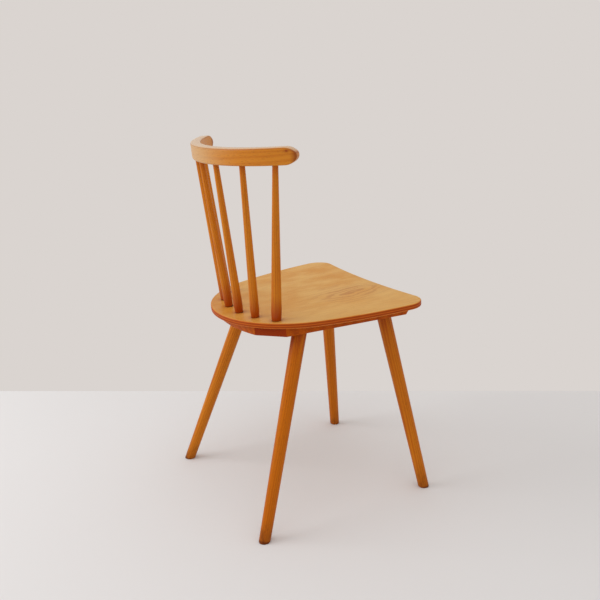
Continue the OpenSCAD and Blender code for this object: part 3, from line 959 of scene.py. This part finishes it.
class CHAIR_OT_crest(PieceOperator, bpy.types.Operator):
    """Bend the crest rail round the spindles' tops"""
    bl_idname = "chair.crest"
    bl_label = "Crest Rail"
    # an end has a long arc above, another below and a small one between them; these are the
    # steps round each arc and along the straight part, and a narrow ring as on the seat
    turns, run, flat_ring = 10, 110, 0.0015

    def make(self):
        s, plan = self.sizes, self.plan
        tip = s.crest_radius * s.crest_half_angle
        high, thick, round_ = s.crest_high, s.crest_thick, s.crest_edge
        drop = s.crest_end_gain
        long_r = high / 2 + drop
        tip_at = sqrt((long_r - s.crest_tip) ** 2 - drop ** 2)
        lean = atan2(drop, tip_at)
        straight = tip - tip_at - s.crest_tip
        bm = bmesh.new()

        def half_outline(inset):
            """Upper half of the rail's face, from one tip to the other."""
            turns, run = self.turns, self.run
            end = []
            for i in range(turns):
                a = pi / 2 + (lean - pi / 2) * i / turns
                end.append((straight + (long_r - inset) * cos(a),
                            (long_r - inset) * sin(a) - drop))
            for i in range(turns + 1):
                a = lean * (1 - i / turns)
                end.append((straight + tip_at + (s.crest_tip - inset) * cos(a),
                            (s.crest_tip - inset) * sin(a)))
            middle = [(straight * (2 * i / run - 1), high / 2 - inset) for i in range(1, run)]
            return [(-a, b) for a, b in reversed(end)] + middle + end

        rows = [(i, thick / 2 - d) for i, d in quarter_round(round_)]
        rows.append((round_ + self.flat_ring, thick / 2))
        rings = []
        for inset, w in [(i, -w) for i, w in reversed(rows)] + rows:
            upper = half_outline(inset)
            lower = [(a, -b) for a, b in reversed(upper[1:-1])]
            rings.append(add_ring(bm, [(a, high / 2 + b, w) for a, b in upper + lower]))
        join_rings(bm, rings)
        for ring in (rings[0], rings[-1]):
            count = len(ring)
            for i in range(count // 2):
                corners = [ring[i], ring[i + 1], ring[-i - 1], ring[-i]] if i else \
                    [ring[0], ring[1], ring[-1]]
                if i == count // 2 - 1:
                    corners = [ring[i], ring[i + 1], ring[-i]]
                bm.faces.new(corners)
        finish_piece(bm, "bent_crest_rail", "crest_rail",
                     crest_finish(self.colours, tip, high, thick),
                     lambda p: plan.on_crest(p.x / s.crest_radius, s.crest_radius + p.z, p.y),
                     lambda p: Vector((p.z, p.y, p.x)), CREST_BOARD)


class CHAIR_OT_fastenings(PieceOperator, bpy.types.Operator):
    """Finish the wedges, dowels and screws that the part already holds"""
    bl_idname = "chair.fastenings"
    bl_label = "Wedges, Dowels and Screws"

    def make(self):
        peg, steel = peg_finish(self.colours), screw_finish(self.colours)
        for name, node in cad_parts.items():
            if name.startswith("leg_wedge") or name == "rail_dowels":
                finish = peg
            elif "screws" in name:
                finish = steel
            else:
                continue
            node.data.materials.clear()
            node.data.materials.append(finish)


class CHAIR_OT_stage(bpy.types.Operator):
    """Lay the floor, hang the lamps and place the camera"""
    bl_idname = "chair.stage"
    bl_label = "Floor, Lamps and Camera"

    def execute(self, context):
        scene, stage = context.scene, context.scene.chair_stage
        self.lay_floor(scene, stage)
        self.light_room(scene, stage)
        self.hang_lamp(scene, stage, "side")
        self.hang_lamp(scene, stage, "top")
        self.place_camera(scene, stage)
        scene.view_settings.view_transform = "Standard"
        return {"FINISHED"}

    @staticmethod
    def lay_floor(scene, stage):
        """A hair below the feet, from its far edge towards the camera."""
        sink = Vector((0, 0, -0.0002))
        along = Vector((cos(stage.floor_turn), sin(stage.floor_turn), 0)) * stage.floor_half
        near = Vector((cos(stage.camera_yaw), sin(stage.camera_yaw), 0)) * -stage.floor_deep
        left, right = stage.floor_end + along, stage.floor_end - along
        corners = [left, right, right + near, left + near]
        mesh = bpy.data.meshes.new("floor")
        mesh.from_pydata([corner + sink for corner in corners], [], [(0, 1, 2, 3)])
        mesh.materials.append(floor_finish(stage.floor))
        floor = bpy.data.objects.new("floor", mesh)
        scene.collection.objects.link(floor)

    @staticmethod
    def light_room(scene, stage):
        """Light from all round, and the wall's own colour wherever the world is looked at."""
        world = bpy.data.worlds.new("plain_room")
        scene.world = world
        world.use_nodes = True
        room = Nodes(world.node_tree)
        glow = room.node("ShaderNodeBackground", {}, {
            "Color": (*stage.sky_tint, 1), "Strength": stage.sky})
        wall = room.node("ShaderNodeBackground", {}, {"Color": (*stage.wall, 1)})
        camera_ray, glossy_ray, clear_ray = (
            room.node("ShaderNodeLightPath", {}, {}, f"Is {kind} Ray")
            for kind in ("Camera", "Glossy", "Transmission"))
        looked_at = camera_ray.most(glossy_ray).most(clear_ray)
        surface = room.node("ShaderNodeMixShader", {}, {0: looked_at, 1: glow, 2: wall})
        room.node("ShaderNodeOutputWorld", {}, {"Surface": surface})

    @staticmethod
    def hang_lamp(scene, stage, name):
        """A square lamp, from the settings whose names begin with its own."""
        def setting(kind):
            return getattr(stage, f"{name}_{kind}")

        bulb = bpy.data.lights.new(f"{name}_lamp", "AREA")
        bulb.energy, bulb.size, bulb.color = setting("power"), setting("size"), stage.lamp_tint
        lamp = bpy.data.objects.new(f"{name}_lamp", bulb)
        lamp.location = setting("place")
        towards = setting("aim") - setting("place")
        lamp.rotation_euler = towards.to_track_quat("-Z", "Y").to_euler()
        scene.collection.objects.link(lamp)

    @staticmethod
    def place_camera(scene, stage):
        """Turned to its yaw, then tilted down, then leaned about its own line of sight."""
        lens = bpy.data.cameras.new("camera")
        lens.lens, lens.sensor_width = stage.camera_lens, stage.camera_sensor
        camera = bpy.data.objects.new("camera", lens)
        camera.rotation_mode = "QUATERNION"
        camera.location = stage.camera_place
        camera.rotation_quaternion = (
            Euler((0, 0, stage.camera_yaw - pi / 2)).to_quaternion()
            @ Euler((pi / 2 - stage.camera_pitch, 0, 0)).to_quaternion()
            @ Euler((0, 0, stage.camera_roll)).to_quaternion())
        scene.collection.objects.link(camera)
        scene.camera = camera


class CHAIR_PT_pieces(bpy.types.Panel):
    """The chair's pieces, in the order that they are made"""
    bl_label = "Side Chair"
    bl_space_type = "VIEW_3D"
    bl_region_type = "UI"
    bl_category = "Chair"

    def draw(self, context):
        for operator in OPERATORS:
            self.layout.operator(operator.bl_idname)


SETTINGS = {"chair_sizes": ChairSizes, "chair_colours": ChairColours, "chair_stage": ChairStage}
OPERATORS = (CHAIR_OT_seat, CHAIR_OT_rails, CHAIR_OT_legs, CHAIR_OT_spindles, CHAIR_OT_crest,
             CHAIR_OT_fastenings, CHAIR_OT_stage)
CLASSES = (*SETTINGS.values(), *OPERATORS, CHAIR_PT_pieces)


def register():
    for cls in CLASSES:
        bpy.utils.register_class(cls)
    for name, group in SETTINGS.items():
        setattr(bpy.types.Scene, name, PointerProperty(type=group))


def unregister():
    for name in SETTINGS:
        delattr(bpy.types.Scene, name)
    for cls in reversed(CLASSES):
        bpy.utils.unregister_class(cls)


def main():
    register()
    bpy.ops.chair.seat()
    bpy.ops.chair.rails()
    bpy.ops.chair.legs()
    bpy.ops.chair.spindles()
    bpy.ops.chair.crest()
    bpy.ops.chair.fastenings()
    bpy.ops.chair.stage()


if __name__ == "__main__":
    main()
